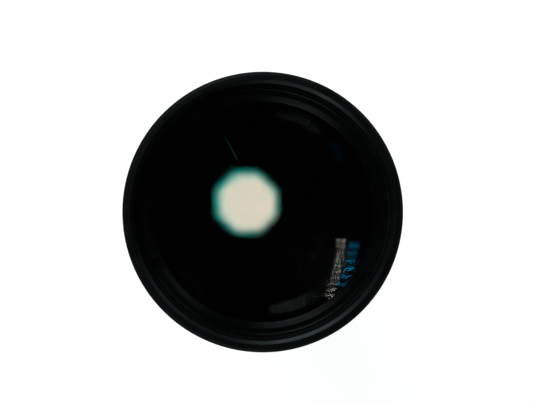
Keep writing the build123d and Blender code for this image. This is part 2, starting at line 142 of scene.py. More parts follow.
def ring_of(tree, size, shape):
    """Copies of a shape, spread evenly round the axis from the first angle on."""
    step = maths(tree, "DIVIDE", 2 * pi, size["Count"])
    angle = maths(tree, "MULTIPLY_ADD", tree.nodes.new("GeometryNodeInputIndex"), step, size["First Angle"])
    spin = add(tree, "ShaderNodeCombineXYZ", Z=angle)
    points = add(tree, "GeometryNodePoints", size["Count"])
    return add(tree, "GeometryNodeInstanceOnPoints", points, Instance=shape, Rotation=spin)


def cut_away(tree, size, cutters):
    """Takes the cutters from the mesh that goes in and finishes it."""
    cut = add(tree, "GeometryNodeMeshBoolean", size["Geometry"], cutters,
              props={"operation": "DIFFERENCE", "solver": "MANIFOLD"})
    finish_shape(tree, cut, size)


def put(name, mesh, body, replaced=(), trees=(), material=None):
    """A piece of the lens: shape trees and smooth normals become plain mesh, then it rides on its body."""
    piece = bpy.data.objects.new(name, mesh)
    bpy.context.scene.collection.objects.link(piece)
    for tree, sizes in trees:
        modifier = piece.modifiers.new(tree.name, "NODES")
        modifier.node_group = tree
        for item in tree.interface.items_tree:
            if item.in_out == "INPUT" and item.name in sizes:
                modifier[item.identifier] = sizes[item.name]
        material = sizes["Material"]
    normals = piece.modifiers.new("normals", "WEIGHTED_NORMAL")
    normals.keep_sharp = True
    made = bpy.data.meshes.new_from_object(piece.evaluated_get(bpy.context.evaluated_depsgraph_get()))
    piece.modifiers.clear()
    piece.data = made
    if material:
        made.materials.clear()
        made.materials.append(material)
        made.polygons.foreach_set("material_index", [0] * len(made.polygons))
    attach(piece, body)
    if replaced:
        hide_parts(*replaced)
    return piece


THREAD_FOOT, THREAD_TIP = 0.42, 0.07  # the ridge's half widths, as shares of the pitch
THREAD_SUNK = -0.2  # its foot lies this share of its depth under the root


def thread_tree():
    """A right-handed screw ridge along the axis. With its crest inside its root it is an inner thread."""
    tree, size = shape_tree("screw_ridge", "Root Radius", "Crest Radius", "Pitch", "Start", "Turns")
    rise = maths(tree, "MULTIPLY", size["Pitch"], size["Turns"])
    root = size["Root Radius"]
    line = add(tree, "GeometryNodeCurveSpiral", 96, size["Turns"], root, root, rise)
    upright = add(tree, "GeometryNodeSetCurveNormal", line, props={"mode": "Z_UP"})
    start = add(tree, "ShaderNodeCombineXYZ", Z=size["Start"])
    place = add(tree, "GeometryNodeTransform", upright, Translation=start)
    depth = maths(tree, "SUBTRACT", size["Crest Radius"], root)
    side = maths(tree, "MULTIPLY", size["Pitch"], maths(tree, "SIGN", depth))
    foot = maths(tree, "MULTIPLY", side, THREAD_FOOT)
    tip = maths(tree, "MULTIPLY", side, THREAD_TIP)
    buried = maths(tree, "MULTIPLY", depth, THREAD_SUNK)
    corners = [
        add(tree, "ShaderNodeCombineXYZ", buried, maths(tree, "MULTIPLY", foot, -1)),
        add(tree, "ShaderNodeCombineXYZ", depth, maths(tree, "MULTIPLY", tip, -1)),
        add(tree, "ShaderNodeCombineXYZ", depth, tip),
        add(tree, "ShaderNodeCombineXYZ", buried, foot),
    ]
    section = add(tree, "GeometryNodeCurvePrimitiveQuadrilateral", props={"mode": "POINTS"},
                  **{f"Point_{k + 1}": corner for k, corner in enumerate(corners)})
    ridge = add(tree, "GeometryNodeCurveToMesh", place, section, Fill_Caps=True)
    finish_shape(tree, add(tree, "GeometryNodeJoinGeometry", [ridge, size["Geometry"]]), size)
    return tree


def grain_group():
    """Fine blasted grain and slow changes of tone, from the grain's size in metres."""
    tree, size = new_tree("blasted_grain", "ShaderNodeTree",
                          {"Grain": "size"}, {"Height": "size", "Tone": "size"})
    place = tree.nodes.new("ShaderNodeTexCoord").outputs["Object"]
    scale = maths(tree, "DIVIDE", 1, size["Grain"])
    fine = add(tree, "ShaderNodeTexNoise", Vector=place, Scale=scale, Detail=3, Roughness=0.65)
    slow = add(tree, "ShaderNodeTexNoise", Vector=place, Scale=210, Detail=4, Roughness=0.6)
    add(tree, "NodeGroupOutput", fine.outputs["Fac"], slow.outputs["Fac"])
    return tree


def turning_group():
    """Fine rings that a lathe tool leaves, across flats and round walls alike."""
    tree, size = new_tree("turning_marks", "ShaderNodeTree", {"Spacing": "size"}, {"Height": "size"})
    place = add(tree, "ShaderNodeSeparateXYZ", tree.nodes.new("ShaderNodeTexCoord").outputs["Object"])
    across = add(tree, "ShaderNodeCombineXYZ", place.outputs["X"], place.outputs["Y"])
    radius = add(tree, "ShaderNodeVectorMath", across, props={"operation": "LENGTH"})
    rings = add(tree, "ShaderNodeCombineXYZ", radius, place.outputs["Z"])
    scale = maths(tree, "DIVIDE", 1, size["Spacing"])
    lines = add(tree, "ShaderNodeTexNoise", Vector=rings, Scale=scale, Detail=2)
    add(tree, "NodeGroupOutput", lines.outputs["Fac"])
    return tree


def wear_group():
    """Mask of rubbed edges: the eased corners, broken up by a patchy noise."""
    tree, size = new_tree("rubbed_edges", "ShaderNodeTree",
                          {"Edge": "size", "Reach": "size"}, {"Mask": "size"})
    place = tree.nodes.new("ShaderNodeTexCoord").outputs["Object"]
    patches = add(tree, "ShaderNodeTexNoise", Vector=place, Scale=520, Detail=5, Roughness=0.7)
    near = maths(tree, "MULTIPLY", size["Edge"], patches.outputs["Fac"])
    mask = add(tree, "ShaderNodeMapRange", near, maths(tree, "SUBTRACT", 0.75, size["Reach"]), 0.78)
    add(tree, "NodeGroupOutput", mask)
    return tree


GRAIN, TURNING, WEAR = grain_group(), turning_group(), wear_group()
THREAD = thread_tree()
LATHE_FEED = 0.00012  # metres from one turning mark to the next


def group(tree, which, **named):
    """One of the shared groups, placed in a material's tree."""
    return add(tree, "ShaderNodeGroup", props={"node_tree": which}, **named)


def blend(tree, factor, first, second):
    """A colour between two others."""
    mix = add(tree, "ShaderNodeMix", props={"data_type": "RGBA"}, Factor=factor, A=first, B=second)
    return mix.outputs[2]


def add_relief(tree, main, height, distance):
    """Bumps on the main shader, this many metres high."""
    relief = add(tree, "ShaderNodeBump", Distance=distance, Height=height)
    tree.links.new(relief.outputs[0], main.inputs["Normal"])


def empty_tree(holder):
    """The node tree of a material or world, with nothing in it."""
    holder.use_nodes = True
    holder.node_tree.nodes.clear()
    return holder.node_tree


def surface(name, shader="ShaderNodeBsdfPrincipled", **sockets):
    """A material with one main shader. Gives back the material, its tree and the shader."""
    material = bpy.data.materials.new(name)
    tree = empty_tree(material)
    main = add(tree, shader, **sockets)
    add(tree, "ShaderNodeOutputMaterial", main)
    return material, tree, main


def metal_finish(name, dark, light, rough, specular, grain, bump, wear=0.12, metallic=0.0,
                 worn=(0.11, 0.115, 0.115)):
    """Coated or bare metal: toned colour, turning marks, rubbed edges, and grain and bump in metres."""
    material, tree, main = surface(name, Metallic=metallic, Specular_IOR_Level=specular)
    grained = group(tree, GRAIN, Grain=grain)
    rings = group(tree, TURNING, Spacing=LATHE_FEED)
    tone = add(tree, "ShaderNodeMapRange", grained.outputs["Tone"], 0.35, 0.65)
    fleck = add(tree, "ShaderNodeMapRange", grained.outputs["Height"], 0.4, 0.7, 0, 0.5)
    mixed = maths(tree, "ADD", maths(tree, "MULTIPLY", tone, 0.5), fleck)
    coating = blend(tree, mixed, (*dark, 1), (*light, 1))
    edge = add(tree, "ShaderNodeAttribute", props={"attribute_name": "edge"})
    rubbed = group(tree, WEAR, Edge=edge.outputs["Fac"], Reach=wear)
    tree.links.new(blend(tree, rubbed, coating, (*worn, 1)), main.inputs["Base Color"])
    gloss = add(tree, "ShaderNodeMapRange", grained.outputs["Tone"], 0.3, 0.7, rough - 0.05, rough + 0.06)
    tree.links.new(gloss.outputs[0], main.inputs["Roughness"])
    relief = maths(tree, "ADD", grained.outputs["Height"], maths(tree, "MULTIPLY", rings, 0.35))
    add_relief(tree, main, relief, bump)
    return material


ANODISED = metal_finish("satin_anodised", dark=(0.0008, 0.0012, 0.0013), light=(0.0020, 0.0028, 0.0031),
                        rough=0.40, specular=0.20, grain=0.00016, bump=0.000003)

camera_ring = turned("camera_ring", [
    (10.4, -4), (11.8, -4), (12.26, -3.5), (12.26, -0.75), (12.05, -0.7), (12.05, 0), (15.5, 0), (15.5, 5),
    (14, 5), (14, 9.5), (10.4, 9.5)], ease=0.06)
put("camera_ring", camera_ring, "lens_body", ["c_mount_ring"], [(THREAD, {
    "Root Radius": 12.26 * MM, "Crest Radius": 12.69 * MM, "Pitch": 0.79375 * MM, "Start": -3.42 * MM,
    "Turns": 3.1, "Material": ANODISED})])

# Flange shim: a thin stamped ring of bright spring steel between the flange and the
# rear barrel. Its thickness sets the distance to the sensor.
STEEL = metal_finish("bright_steel", dark=(0.42, 0.42, 0.43), light=(0.58, 0.58, 0.59), rough=0.30,
                     specular=0.5, grain=0.0003, bump=0.000002, metallic=1.0, worn=(0.7, 0.7, 0.7))
shim = turned("flange_shim_ring", [(14.05, 5.01), (15.5, 5.01), (15.5, 5.29), (14.05, 5.29)], ease=0.04)
put("flange_shim_ring", shim, "lens_body", ["flange_shim"], material=STEEL)


# Rear barrel: clamp tube with a collar that backs the aperture ring, turned and
# anodised. Three grub screws lock it on the camera ring, three on the iris housing.
DRILL_PAST = 0.001  # metres that a drill stands out of its wall


def drilling_tree():
    """Countersunk radial holes, spread evenly round the axis."""
    tree, size = shape_tree("radial_holes", "First Angle", "Height", "Hole Radius", "Inner Radius",
                            "Surface Radius", "Countersink", whole=["Count"])
    wall = maths(tree, "SUBTRACT", size["Surface Radius"], size["Inner Radius"])
    reach = maths(tree, "ADD", wall, DRILL_PAST)
    drill = add(tree, "GeometryNodeMeshCylinder", 40, 1, 1, size["Hole Radius"], reach)
    middle = maths(tree, "ADD", size["Inner Radius"], maths(tree, "MULTIPLY", reach, 0.5))
    sunk = maths(tree, "MULTIPLY", size["Countersink"], 2)
    wide = maths(tree, "ADD", size["Hole Radius"], sunk)
    sink = add(tree, "GeometryNodeMeshCone", 40, 1, 1, wide, size["Hole Radius"], sunk)
    start = maths(tree, "SUBTRACT", size["Surface Radius"], size["Countersink"])
    cutters = []
    for tool, where in ((drill, middle), (sink, start)):
        place = add(tree, "ShaderNodeCombineXYZ", where, 0, size["Height"])
        cutters.append(add(tree, "GeometryNodeTransform", tool, Translation=place, Rotation=(0, pi / 2, 0)))
    cut_away(tree, size, [ring_of(tree, size, cutter) for cutter in cutters])
    return tree


def copies_tree():
    """Copies of one piece, spread evenly round the axis."""
    tree, size = shape_tree("row_of_copies", "First Angle", whole=["Count"])
    finish_shape(tree, ring_of(tree, size, size["Geometry"]), size)
    return tree


DRILLING, COPIES = drilling_tree(), copies_tree()
OXIDE = metal_finish("black_oxide", dark=(0.018, 0.018, 0.020), light=(0.040, 0.040, 0.042), rough=0.36,
                     specular=0.5, grain=0.0002, bump=0.000002, wear=0.3, metallic=0.8,
                     worn=(0.25, 0.25, 0.25))


def holes(angle, height, inner, outside, r=1.25, count=3, countersink=0.15):
    """Sizes of one row of radial holes, for the drilling tree."""
    return (DRILLING, {
        "Count": count, "First Angle": radians(angle), "Height": height * MM, "Hole Radius": r * MM,
        "Inner Radius": inner * MM, "Surface Radius": outside * MM, "Countersink": countersink * MM,
        "Material": ANODISED})


def grub_mesh(seat, outer, height, r=1.2, socket=0.7, depth=1.2):
    """A socket set screw that points outwards along X, from its tip on the seat to its hexagon socket."""
    sides, tip, bevel, lip, drill_point = 24, 0.35, 0.12, 0.06, 0.25
    rows = [(seat, 0), (seat, r * 0.6), (seat + tip, r), (outer - bevel, r), (outer, r - bevel)]
    rings = [(x, [rad] * sides) for x, rad in rows]
    hexagon = [socket / cos((k * 15 + 30) % 60 * pi / 180 - pi / 6) for k in range(sides)]
    rings += [(outer, [h + lip for h in hexagon]), (outer - lip, hexagon), (outer - depth, hexagon),
              (outer - depth - drill_point, [0.0] * sides)]
    points = [(x * MM, radius * cos(k * pi / 12) * MM, (height + radius * sin(k * pi / 12)) * MM)
              for x, radii in rings for k, radius in enumerate(radii)]
    faces = [(low + k, low + (k + 1) % sides, low + sides + (k + 1) % sides, low + sides + k)
             for low in range(0, (len(rings) - 1) * sides, sides) for k in range(sides)]
    mesh = bpy.data.meshes.new("grub")
    mesh.from_pydata(points, [], faces)
    mesh.validate()
    return mesh


def put_grubs(name, node, seat, surface_r, height, angle):
    """A row of three set screws, each a little under the surface of its barrel."""
    gap, sunk = 0.03, 0.3
    put(name, grub_mesh(seat + gap, surface_r - sunk, height), "lens_body", [node],
        [(COPIES, {"Count": 3, "First Angle": radians(angle), "Material": OXIDE})])


rear_barrel = turned("rear_barrel_tube", [
    (14.05, 5.3), (16.6, 5.3), (17, 5.7), (17, 18), (20.1, 18), (20.5, 18.4), (20.5, 25.6), (20.1, 26),
    (18.05, 26), (18.05, 18.8), (12.5, 18.8), (12.5, 10.5), (14.05, 10.5)])
put("rear_barrel_tube", rear_barrel, "lens_body", ["rear_barrel"], [
    holes(angle=30, height=7.55, inner=13.95, outside=17),
    holes(angle=90, height=22, inner=17.95, outside=20.5)])
put_grubs("camera_ring_grubs", "c_mount_grub_screws", seat=14, surface_r=17, height=7.55, angle=30)
put_grubs("housing_grubs", "housing_grub_screws", seat=18, surface_r=20.5, height=22, angle=90)

# Rear lens cell: thin blackened tube with the rear crown and flint lenses, a spacer
# and a threaded ring. It sits inside the rear barrel, behind the iris.
MATTE = metal_finish("dead_black", dark=(0.0008, 0.0009, 0.0010), light=(0.0018, 0.0020, 0.0022),
                     rough=0.72, specular=0.08, grain=0.00022, bump=0.000010, wear=0.05,
                     worn=(0.03, 0.03, 0.03))


def coat(node, material):
    """Gives a carried-over CAD node its own finish."""
    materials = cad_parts[node].data.materials
    materials.clear()
    materials.append(material)


for part in ("rear_lens_cell", "rear_spacer", "rear_retaining_ring"):
    coat(part, MATTE)


def coated_glass(name, ior, tint, mirror, film=0.0):
    """Clear optical glass. Mirror is the colour that it throws back, film its coating's share."""
    return surface(name, IOR=ior, Transmission_Weight=1.0, Metallic=0.0, Roughness=0.0, Base_Color=(*tint, 1),
                   Specular_Tint=(*mirror, 1), Coat_Weight=film, Coat_IOR=1.5, Coat_Roughness=0.05)[0]


def inked_edge():
    """Black lacquer on the ground edge of a lens."""
    return metal_finish("edge_lacquer", dark=(0.0010, 0.0010, 0.0011), light=(0.0022, 0.0022, 0.0024),
                        rough=0.6, specular=0.2, grain=0.0003, bump=0.000012, wear=0.0)


def cap_height(curve, r):
    """How far a polished face falls back at radius r. A negative curve is hollow, 0 is flat."""
    return 0.0 if curve == 0 else (abs(curve) - sqrt(curve ** 2 - r ** 2)) * (1 if curve > 0 else -1)


def lens_mesh(name, r, front, thickness, front_curve, rear_curve, steps=40, segments=192):
    """A ground and polished lens. Material 0 is its front face, 1 its inked edge and 2 its rear face."""
    radii = [r * k / steps for k in range(steps + 1)]
    rows = [(x, front - cap_height(front_curve, x), 0) for x in radii]
    rows += [(x, front - thickness + cap_height(rear_curve, x), 0) for x in reversed(radii)]
    mesh = spun(name, rows, segments)
    worker = bmesh.new()
    worker.from_mesh(mesh)
    bmesh.ops.remove_doubles(worker, verts=worker.verts, dist=1e-7)
    for face in worker.faces:
        middle = face.calc_center_median()
        radial = Vector((middle.x, middle.y, 0)).normalized()
        if abs(face.normal.dot(radial)) > 0.9:
            face.material_index = 1
        elif face.normal.z < 0:
            face.material_index = 2
    worker.to_mesh(mesh)
    worker.free()
    mesh.set_sharp_from_angle(angle=radians(30))
    return mesh


def put_lens(name, node, front_glass, rear_glass, **sizes):
    """A lens of these sizes, with the materials of its front face, edge and rear face."""
    piece = put(name, lens_mesh(name, **sizes), "lens_body", [node])
    for material in (front_glass, EDGE_INK, rear_glass):
        piece.data.materials.append(material)


EDGE_INK = inked_edge()
REAR_GLASS = coated_glass("rear_glass", ior=1.62, tint=(1.0, 1.0, 0.99), mirror=(0.06, 0.10, 0.10))
put_lens("rear_crown", "rear_crown_lens", REAR_GLASS, REAR_GLASS,
         r=9, front=21.3195, thickness=4, front_curve=40, rear_curve=40)
put_lens("rear_flint", "rear_flint_lens", REAR_GLASS, REAR_GLASS,
         r=9, front=16.8995, thickness=2, front_curve=0, rear_curve=-40)

# Iris housing and iris: an anodised tube with the slot for the drive screw, a blackened
# base plate, eight thin steel blades, the cam ring that swings them and a threaded ring.
BLADE = metal_finish("blued_blades", dark=(0.004, 0.004, 0.0045), light=(0.010, 0.010, 0.011), rough=0.42,
                     specular=0.4, grain=0.0002, bump=0.0000015, wear=0.1)
# The lowest blade plate's underside, the distance to the next and a plate's thickness, in the
# solids and in the copies that replace them here.
CAD_LEVEL, CAD_STEP, CAD_PLATE = 30.35, 0.25, 0.15
THIN_LEVEL, THIN_STEP, THIN_PLATE = 31.2, 0.05, 0.04
for part, material in (("iris_housing", ANODISED), ("iris_base_plate", MATTE), ("iris_cam_ring", MATTE),
                       ("iris_retaining_ring", MATTE)):
    coat(part, material)


def close_blade(index):
    """A copy of the CAD blade with a thinner plate, close to the plates next to it, and the same pins."""
    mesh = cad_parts[f"iris_blade_{index}"].data.copy()
    mesh.materials.clear()
    worker = bmesh.new()
    worker.from_mesh(mesh)
    bmesh.ops.remove_doubles(worker, verts=worker.verts, dist=1e-7)
    heights = [v.co.z / MM for v in worker.verts]
    was = CAD_LEVEL + CAD_STEP * (index - 1)
    now = THIN_LEVEL + THIN_STEP * (index - 1)
    before = [min(heights), was, was + CAD_PLATE, max(heights)]
    after = [min(heights), now, now + THIN_PLATE, max(heights)]
    for v in worker.verts:
        v.co.z = float(np.interp(v.co.z / MM, before, after)) * MM
    worker.to_mesh(mesh)
    worker.free()
    mesh.set_sharp_from_angle(angle=radians(30))
    return mesh


for index in range(1, 9):
    node = f"iris_blade_{index}"
    put(f"thin_blade_{index}", close_blade(index), node, [node], material=BLADE)


# Aperture ring: a fluted grip that turns on the iris housing, with its drive screw and
# lock screw, a white plastic washer above it, and painted marks for the openings.
def flutes_tree():
    """Round-bottomed grip flutes, cut evenly round a ring."""
    tree, size = shape_tree("grip_flutes", "Ring Radius", "Flute Radius", "Depth", "Start", "Length",
                            whole=["Count"])
    cutter = add(tree, "GeometryNodeMeshCylinder", 20, 1, 1, size["Flute Radius"], size["Length"])
    touching = maths(tree, "ADD", size["Ring Radius"], size["Flute Radius"])
    out = maths(tree, "SUBTRACT", touching, size["Depth"])
    middle = maths(tree, "ADD", size["Start"], maths(tree, "MULTIPLY", size["Length"], 0.5))
    place = add(tree, "ShaderNodeCombineXYZ", out, 0, middle)
    placed = add(tree, "GeometryNodeTransform", cutter, Translation=place)
    step = maths(tree, "DIVIDE", 2 * pi, size["Count"])
    angle = maths(tree, "MULTIPLY", maths(tree, "ADD", tree.nodes.new("GeometryNodeInputIndex"), 0.5), step)
    spin = add(tree, "ShaderNodeCombineXYZ", Z=angle)
    points = add(tree, "GeometryNodePoints", size["Count"])
    cut_away(tree, size, add(tree, "GeometryNodeInstanceOnPoints", points, Instance=placed, Rotation=spin))
    return tree


def marks_tree():
    """Short painted lines along the axis, one on each point of the mesh that goes in."""
    tree, size = shape_tree("painted_marks", "Length", "Width", "Paint")
    sides = add(tree, "ShaderNodeCombineXYZ", size["Paint"], size["Width"], size["Length"])
    line = add(tree, "GeometryNodeMeshCube", sides)
    position = tree.nodes.new("GeometryNodeInputPosition")
    level = add(tree, "ShaderNodeVectorMath", position, (1, 1, 0), props={"operation": "MULTIPLY"})
    outwards = add(tree, "FunctionNodeAlignRotationToVector", Vector=level,
                   props={"axis": "X", "pivot_axis": "Z"})
    row = add(tree, "GeometryNodeInstanceOnPoints", size["Geometry"], Instance=line, Rotation=outwards)
    finish_shape(tree, row, size)
    return tree


FLUTES, MARKS = flutes_tree(), marks_tree()
aperture_ring = turned("aperture_grip", [
    (19.05, 26.1), (21.6, 26.1), (22, 26.5), (22, 36.7), (21.6, 37.1), (19.05, 37.1)], segments=320)
put("aperture_grip", aperture_ring, "aperture_ring", ["aperture_ring"], [
    (FLUTES, {"Count": 40, "Ring Radius": 22 * MM, "Flute Radius": 0.7 * MM, "Depth": 0.45 * MM,
              "Start": 27.9 * MM, "Length": 7.4 * MM, "Material": ANODISED}),
    holes(angle=200, height=33.7, inner=18, outside=22, r=0.85, count=1, countersink=0.1),
    holes(angle=300, height=33.7, inner=18, outside=22, count=1)])
put("aperture_lock", grub_mesh(seat=19.08, outer=21.25, height=33.7), "aperture_ring",
    ["aperture_lock_screw"], [(COPIES, {"Count": 1, "First Angle": radians(300), "Material": OXIDE})])
coat("aperture_drive_screw", OXIDE)


def washer_plastic():
    """White low-friction plastic, a little waxy."""
    material, tree, main = surface("washer_plastic", Roughness=0.5, Specular_IOR_Level=0.35)
    grained = group(tree, GRAIN, Grain=0.0004)
    tone = add(tree, "ShaderNodeMapRange", grained.outputs["Tone"], 0.3, 0.7)
    base = blend(tree, tone, (0.62, 0.61, 0.57, 1), (0.74, 0.73, 0.69, 1))
    tree.links.new(base, main.inputs["Base Color"])
    add_relief(tree, main, grained, 0.000004)
    return material


def mark_paint():
    """Matt white paint, patchy in its cover."""
    material, tree, main = surface("mark_paint", Roughness=0.65, Specular_IOR_Level=0.3)
    grained = group(tree, GRAIN, Grain=0.00012)
    cover = add(tree, "ShaderNodeMapRange", grained.outputs["Height"], 0.3, 0.6)
    base = blend(tree, cover, (0.34, 0.34, 0.33, 1), (0.62, 0.62, 0.60, 1))
    tree.links.new(base, main.inputs["Base Color"])
    add_relief(tree, main, grained, 0.000006)
    return material


PAINT = mark_paint()
coat("friction_washer", washer_plastic())


def mark_points(name, angles, r, height):
    """One point at each angle, in mm."""
    mesh = bpy.data.meshes.new(name)
    mesh.from_pydata([(r * cos(a) * MM, r * sin(a) * MM, height * MM) for a in angles], [], [])
    return mesh


WIDEST, AT_REST, SMALLEST = 6.2, 0.9, 0.5  # radii of the iris's opening
BLADE_PIVOT_R = 12.8
RING_TRAVEL, INDEX_ANGLE = radians(38), radians(270)


def swing(opening):
    """Turn of a blade from fully open to an opening of this radius."""
    return 2 * asin((WIDEST - opening) / (2 * BLADE_PIVOT_R))


ratio = swing(SMALLEST) / RING_TRAVEL
stops = [WIDEST / sqrt(2) ** k for k in range(8)]
stop_angles = [INDEX_ANGLE + (swing(stop) - swing(AT_REST)) / ratio for stop in stops]
put("opening_marks", mark_points("opening_marks", stop_angles, r=20.5, height=24.5), "lens_body",
    trees=[(MARKS, {
        "Length": 1.5 * MM, "Width": 0.22 * MM, "Paint": 0.03 * MM, "Material": PAINT})])
put("index_mark", mark_points("index_mark", [INDEX_ANGLE], r=22, height=27.1), "aperture_ring",
    trees=[(MARKS, {
        "Length": 1.0 * MM, "Width": 0.3 * MM, "Paint": 0.03 * MM, "Material": PAINT})])

# Taper housing: turned and anodised cone between the iris and the front barrel, with
# two sharp-edged light baffles inside and three grub screws that hold the iris housing.
taper = turned("taper_body", [
    (18.05, 37.5), (20.1, 37.5), (20.5, 37.9), (20.5, 41.5), (30, 74), (30, 77.6), (29.6, 78), (27, 78),
    (27, 83), (23.5, 83), (23.5, 63), (19.5, 63), (19.5, 50), (15.5, 50), (15.5, 43.7), (18.05, 43.7)])
put("taper_body", taper, "lens_body", ["taper_housing"],
    [holes(angle=90, height=39.5, inner=17.95, outside=20.5)])
put_grubs("taper_grubs", "taper_grub_screws", seat=18, surface_r=20.5, height=39.5, angle=90)
for part in ("rear_baffle", "front_baffle"):
    coat(part, MATTE)

# Front barrel: the largest turned part, with a flat rim, a bevelled mouth and a fine
# filter thread in front of the glass. Three grub screws hold it on the taper housing.
RIM, CHAMFER, MOUTH_BEVEL = 112.002, 0.65, 0.5
barrel = turned("barrel_tube", [
    (27.05, 78), (29.6, 78), (30, 78.4), (30, RIM - CHAMFER), (30 - CHAMFER, RIM), (28.28, RIM),
    (27.5, RIM - MOUTH_BEVEL), (27.5, 108.002), (27, 108.002), (27, 104.5), (25.6, 104.5), (25.6, 85.8),
    (23.6, 85.8), (23.6, 83.2), (27.05, 83.2)], ease=0.06, fade=0.15, segments=320)
put("barrel_tube", barrel, "lens_body", ["front_barrel"], [
    (THREAD, {"Root Radius": 27.5 * MM, "Crest Radius": 27.12 * MM, "Pitch": 0.75 * MM, "Start": 108.62 * MM,
              "Turns": 3.0, "Material": ANODISED}),
    holes(angle=30, height=80.5, inner=26.95, outside=30)])
put_grubs("barrel_grubs", "barrel_grub_screws", seat=27, surface_r=30, height=80.5, angle=30)


def dust_tree():
    """Flat specks on the points of a mesh, each with its own size and turn."""
    tree, size = shape_tree("dust_specks", "Size", whole=["Seed"])
    speck = add(tree, "GeometryNodeMeshIcoSphere", size["Size"], 2)
    flat = add(tree, "GeometryNodeTransform", speck, Scale=(1, 0.6, 0.12))
    turn = add(tree, "FunctionNodeRandomValue", 0.0, 6.28, Seed=size["Seed"])
    other_seed = maths(tree, "ADD", size["Seed"], 7)
    grow = add(tree, "FunctionNodeRandomValue", 0.6, 1.5, Seed=other_seed)
    row = add(tree, "GeometryNodeInstanceOnPoints", size["Geometry"], Instance=flat,
              Rotation=add(tree, "ShaderNodeCombineXYZ", Z=turn), Scale=grow)
    finish_shape(tree, row, size)
    return tree


def dust_material():
    """Pale grey lint and metal dust."""
    material, tree, main = surface("dust", Roughness=0.9, Specular_IOR_Level=0.2)
    grained = group(tree, GRAIN, Grain=0.0001)
    base = blend(tree, grained.outputs["Height"], (0.16, 0.18, 0.18, 1), (0.42, 0.45, 0.45, 1))
    tree.links.new(base, main.inputs["Base Color"])
    return material


SPECK_PLACES = (
    (-26.74, -10.05), (-27.32, -9.09), (-27.92, -6.3), (-26.35, -11.88), (-27.4, 8.1), (12.9, -25.6),
    (24.3, -15.4), (-15.2, 24.4), (3.1, 28.7), (28.3, 4.6))
SPECK_SUNK = 0.02
specks = bpy.data.meshes.new("rim_dust")
specks.from_pydata([(x * MM, y * MM, (RIM - SPECK_SUNK) * MM) for x, y in SPECK_PLACES], [], [])
put("rim_dust", specks, "lens_body", trees=[(dust_tree(), {
    "Size": 0.11 * MM, "Seed": 4, "Material": dust_material()})])


# Front glass: a cemented doublet of crown and flint, and a second lens on the barrel's
# seat, kept apart by a blackened spacer. The glass is coated, and its edges are inked.
def ripple_group():
    """Normals of a surface whose polish scatters a little, each spot on its own."""
    tree, size = new_tree("fine_polish", "ShaderNodeTree", {"Spread": "size"}, {"Normal": "vector"})
    place = tree.nodes.new("ShaderNodeTexCoord").outputs["Object"]
    spot = add(tree, "ShaderNodeVectorMath", place, props={"operation": "SCALE"}, Scale=3.0e6)
    random = add(tree, "ShaderNodeTexWhiteNoise", Vector=spot)
    centred = add(tree, "ShaderNodeVectorMath", random.outputs["Color"], (0.5, 0.5, 0.5),
                  props={"operation": "SUBTRACT"})
    tilt = add(tree, "ShaderNodeVectorMath", centred, props={"operation": "SCALE"}, Scale=size["Spread"])
    normal = tree.nodes.new("ShaderNodeNewGeometry").outputs["Normal"]
    leaning = add(tree, "ShaderNodeVectorMath", normal, tilt, props={"operation": "ADD"})
    add(tree, "NodeGroupOutput", add(tree, "ShaderNodeVectorMath", leaning, props={"operation": "NORMALIZE"}))
    return tree


def fringed_glass(name, red_ior, ior, tint, spread):
    """Glass that bends red less than green and blue, as a simple lens does. Spread is its scatter."""
    material, tree, red = surface(name)
    teal = tree.nodes.new(red.bl_idname)
    scattered = group(tree, ripple_group(), Spread=spread)
    for shader, bend, colour in ((red, red_ior, (tint[0], 0, 0, 1)), (teal, ior, (0, tint[1], tint[2], 1))):
        shader.inputs["Base Color"].default_value = colour
        shader.inputs["IOR"].default_value = bend
        shader.inputs["Transmission Weight"].default_value = 1.0
        shader.inputs["Roughness"].default_value = 0.0
        shader.inputs["Specular Tint"].default_value = (0, 0, 0, 1)
        tree.links.new(scattered.outputs[0], shader.inputs["Normal"])
    output = next(n for n in tree.nodes if n.type == "OUTPUT_MATERIAL")
    tree.links.new(add(tree, "ShaderNodeAddShader", red, teal).outputs[0], output.inputs["Surface"])
    return material


CLEAR, NO_MIRROR = (1.0, 1.0, 1.0), (0.0, 0.0, 0.0)
CROWN_IOR, FLINT_IOR = 1.62, 1.76
CROWN = coated_glass("crown_front", CROWN_IOR, CLEAR, NO_MIRROR, film=1.0)
CEMENTED = coated_glass("cemented_crown", CROWN_IOR, CLEAR, NO_MIRROR)
CEMENTED_FLINT = coated_glass("cemented_flint", FLINT_IOR, CLEAR, NO_MIRROR)
FLINT = coated_glass("flint", FLINT_IOR, tint=(0.99, 0.97, 0.92), mirror=(0.004, 0.006, 0.008))
FIELD = fringed_glass("field_glass", red_ior=1.650, ior=1.660, tint=(0.755, 0.735, 0.63), spread=0.0066)
GLASS_TOP, GLASS_CURVE = 107.7306, 150
put_lens("crown_glass", "front_crown_lens", CROWN, CEMENTED,
         r=25.5, front=GLASS_TOP, thickness=8.9015, front_curve=GLASS_CURVE, rear_curve=90)
put_lens("flint_glass", "front_flint_lens", CEMENTED_FLINT, FLINT,
         r=25.5, front=98.8091, thickness=3.5, front_curve=-90, rear_curve=300)
put_lens("field_glass", "second_front_lens", FIELD, FIELD,
         r=25.5, front=94.9991, thickness=9.1991, front_curve=58.6, rear_curve=0)
coat("front_spacer", MATTE)


def lint_tree():
    """A fine fibre along the curve of the points that go in."""
    tree, size = shape_tree("lint_fibre", "Thickness")
    line = add(tree, "GeometryNodeMeshToCurve", size["Geometry"])
    radius = maths(tree, "MULTIPLY", size["Thickness"], 0.5)
    section = add(tree, "GeometryNodeCurvePrimitiveCircle", Resolution=8, Radius=radius)
    finish_shape(tree, add(tree, "GeometryNodeCurveToMesh", line, section, Fill_Caps=True), size)
    return tree


